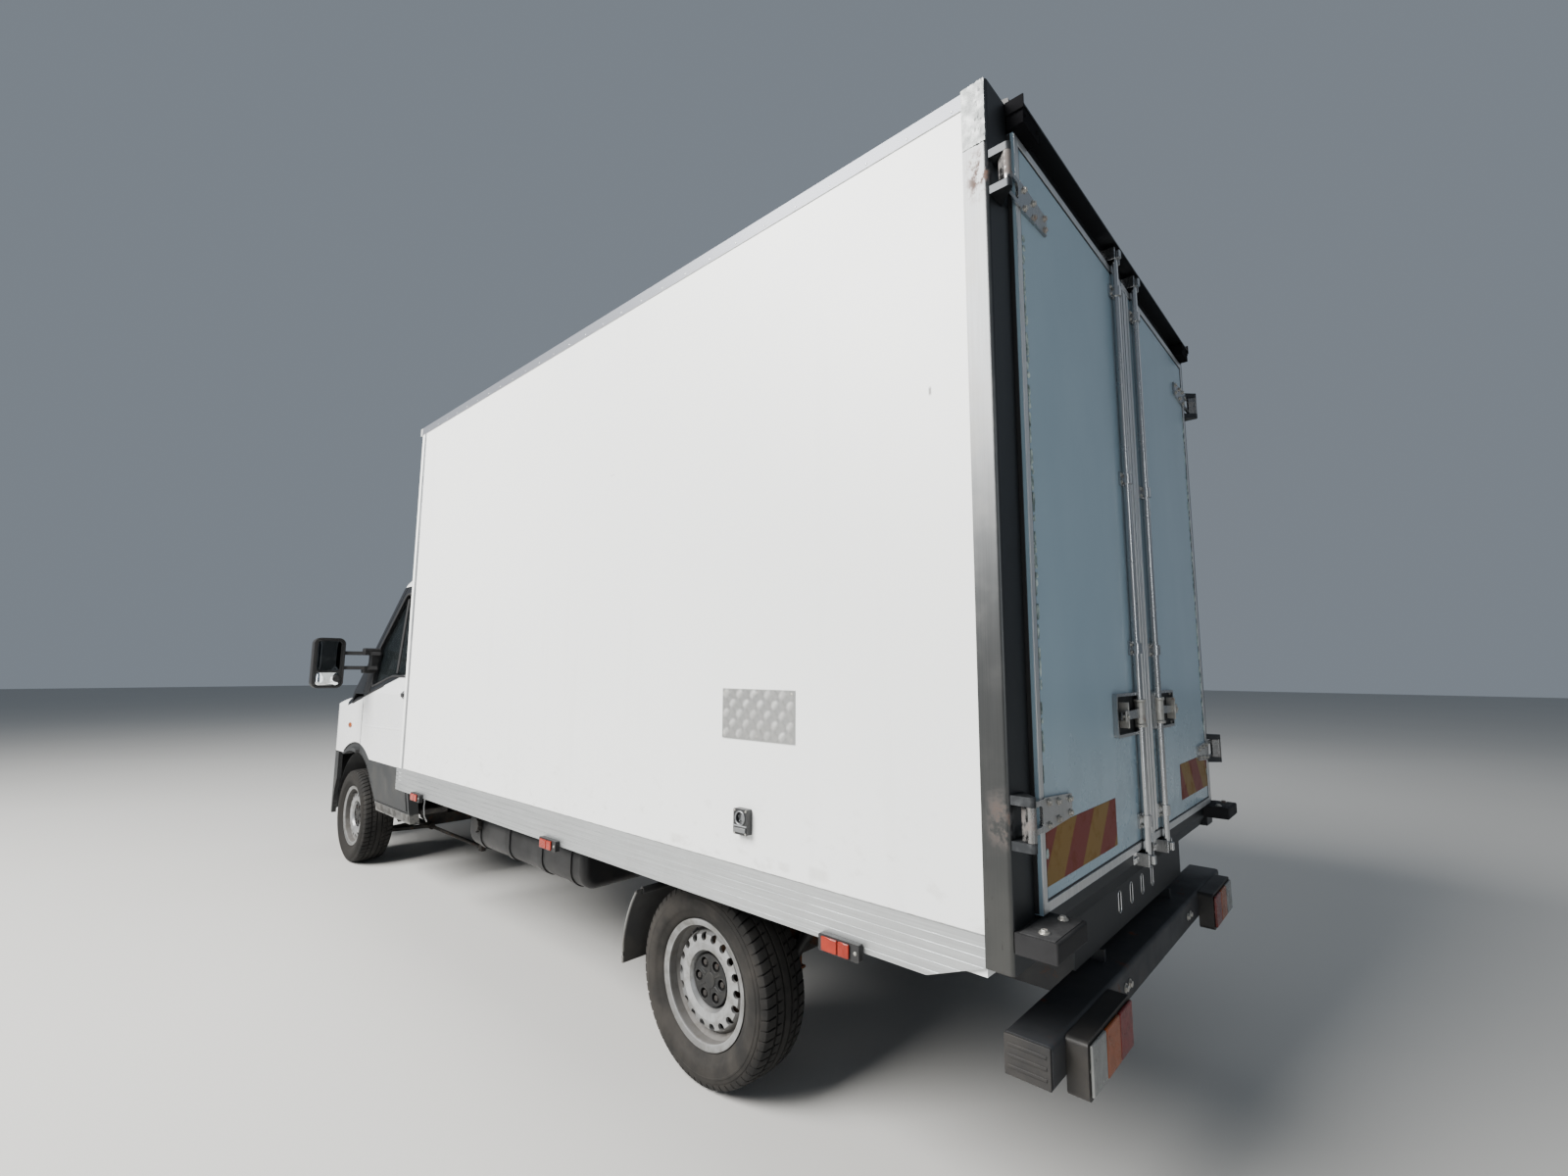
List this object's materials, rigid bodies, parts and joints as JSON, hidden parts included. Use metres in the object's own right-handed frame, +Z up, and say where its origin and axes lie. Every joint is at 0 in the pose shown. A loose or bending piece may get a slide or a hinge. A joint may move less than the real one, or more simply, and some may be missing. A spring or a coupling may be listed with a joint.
{
  "type": "refrigerated truck",
  "caption": "Light refrigerated truck: short bonneted cab, insulated box body with twin rear doors, nose-mounted cooling unit.",
  "frame": {"origin": "on the ground under the middle of the whole vehicle", "axes": "+Z up, -Y is the truck's front, +Y its rear, +X its left side"},
  "size_m": [2.68, 6.46, 3.102],
  "materials": {
    "frame_paint": "satin",
    "axle_paint": "rough",
    "spring_steel": "satin",
    "engine_metal": "rough",
    "tank_plastic": "matte",
    "exhaust_steel": "rough",
    "tyre": "matte",
    "rim_steel": "satin",
    "cab_paint": "gloss",
    "cladding": "matte",
    "grille_plastic": "matte",
    "lamp_clear": "gloss",
    "lamp_plastic": "gloss",
    "window_glass": "gloss",
    "interior_plastic": "matte",
    "seat_fabric": "matte",
    "floor_mat": "satin",
    "mirror_housing": "matte",
    "grp_white": "gloss",
    "grp_floor": "satin",
    "rail_aluminium": "satin",
    "stainless": "satin",
    "galvanised": "satin",
    "buffer_rubber": "matte",
    "guard_plastic": "matte",
    "unit_white": "gloss",
    "door_white": "gloss"
  },
  "bodies": {
    "chassis": {"frame_rails": "frame_paint", "cross_members": "frame_paint", "front_suspension": "axle_paint", "rear_axle": "axle_paint", "leaf_springs": "spring_steel", "engine_block": "engine_metal", "prop_shaft": "axle_paint", "fuel_tank": "tank_plastic", "exhaust": "exhaust_steel", "cab_roof": "cab_paint", "cab_back": "cab_paint", "cab_sides": "cab_paint", "cab_floor": "floor_mat", "windscreen": "window_glass", "front_wings": "cab_paint", "front_bumper": "cladding", "grille": "grille_plastic", "headlamps": "lamp_clear", "dashboard": "interior_plastic", "seats": "seat_fabric", "box_floor": "grp_floor", "box_sides": "grp_white", "box_front": "grp_white", "box_roof": "grp_white", "side_rails": "rail_aluminium", "rear_posts": "stainless", "rear_header": "stainless", "rear_sill": "stainless", "underrun_bar": "frame_paint", "buffers": "buffer_rubber", "mudguards": "guard_plastic", "cooling_unit": "unit_white", "evaporator": "unit_white", "wall_fittings": "rail_aluminium", "lamps": "lamp_plastic"},
    "rear_door_left": {"rear_door_left": "door_white", "door_gear_left": "stainless"},
    "rear_door_right": {"rear_door_right": "door_white", "door_gear_right": "stainless"},
    "cab_door_left": {"cab_door_left": "cab_paint", "door_glass_left": "window_glass", "mirror_left": "mirror_housing"},
    "cab_door_right": {"cab_door_right": "cab_paint", "door_glass_right": "window_glass", "mirror_right": "mirror_housing"},
    "bonnet": {"bonnet": "cab_paint"},
    "steering_wheel": {"steering_wheel": "interior_plastic"},
    "knuckle_left": {"knuckle_left": "axle_paint"},
    "knuckle_right": {"knuckle_right": "axle_paint"},
    "wheel_front_left": {"tyre_front_left": "tyre", "rim_front_left": "rim_steel"},
    "wheel_front_right": {"tyre_front_right": "tyre", "rim_front_right": "rim_steel"},
    "wheel_rear_left": {"tyre_rear_left": "tyre", "rim_rear_left": "rim_steel"},
    "wheel_rear_right": {"tyre_rear_right": "tyre", "rim_rear_right": "rim_steel"}
  },
  "joints": [
    {"name": "steer_left", "type": "hinge", "parent": "chassis", "child": "knuckle_left", "pos_m": [0.8, -2.23, 0.345], "axis": [0, 0, 1], "range_deg": [-35, 35]},
    {"name": "steer_right", "type": "hinge", "parent": "chassis", "child": "knuckle_right", "pos_m": [-0.8, -2.23, 0.345], "axis": [0, 0, 1], "range_deg": [-35, 35]},
    {"name": "spin_front_left", "type": "hinge", "parent": "knuckle_left", "child": "wheel_front_left", "pos_m": [0.86, -2.23, 0.345], "axis": [1, 0, 0], "continuous": true},
    {"name": "spin_front_right", "type": "hinge", "parent": "knuckle_right", "child": "wheel_front_right", "pos_m": [-0.86, -2.23, 0.345], "axis": [1, 0, 0], "continuous": true},
    {"name": "spin_rear_left", "type": "hinge", "parent": "chassis", "child": "wheel_rear_left", "pos_m": [0.855, 1.87, 0.345], "axis": [1, 0, 0], "continuous": true},
    {"name": "spin_rear_right", "type": "hinge", "parent": "chassis", "child": "wheel_rear_right", "pos_m": [-0.855, 1.87, 0.345], "axis": [1, 0, 0], "continuous": true},
    {"name": "steering_column", "type": "hinge", "parent": "chassis", "child": "steering_wheel", "pos_m": [0.38, -1.9, 1.235], "axis": [0, -0.788, -0.6157], "range_deg": [-530, 530]},
    {"name": "open_cab_door_left", "type": "hinge", "parent": "chassis", "child": "cab_door_left", "pos_m": [0.952, -2.135, 1.015], "axis": [0, 0, -1], "range_deg": [0, 70]},
    {"name": "open_cab_door_right", "type": "hinge", "parent": "chassis", "child": "cab_door_right", "pos_m": [-0.952, -2.135, 1.015], "axis": [0, 0, 1], "range_deg": [0, 70]},
    {"name": "open_rear_door_left", "type": "hinge", "parent": "chassis", "child": "rear_door_left", "pos_m": [1.085, 3.175, 1.96], "axis": [0, 0, -1], "range_deg": [0, 255]},
    {"name": "open_rear_door_right", "type": "hinge", "parent": "chassis", "child": "rear_door_right", "pos_m": [-1.085, 3.175, 1.96], "axis": [0, 0, 1], "range_deg": [0, 255]},
    {"name": "open_bonnet", "type": "hinge", "parent": "chassis", "child": "bonnet", "pos_m": [0, -2.562, 1.223], "axis": [-1, 0, 0], "range_deg": [0, 50]}
  ],
  "couplings": [
    {"joint": "steer_right", "follows": "steer_left", "ratio": 1},
    {"joint": "steering_column", "follows": "steer_left", "ratio": -15}
  ]
}
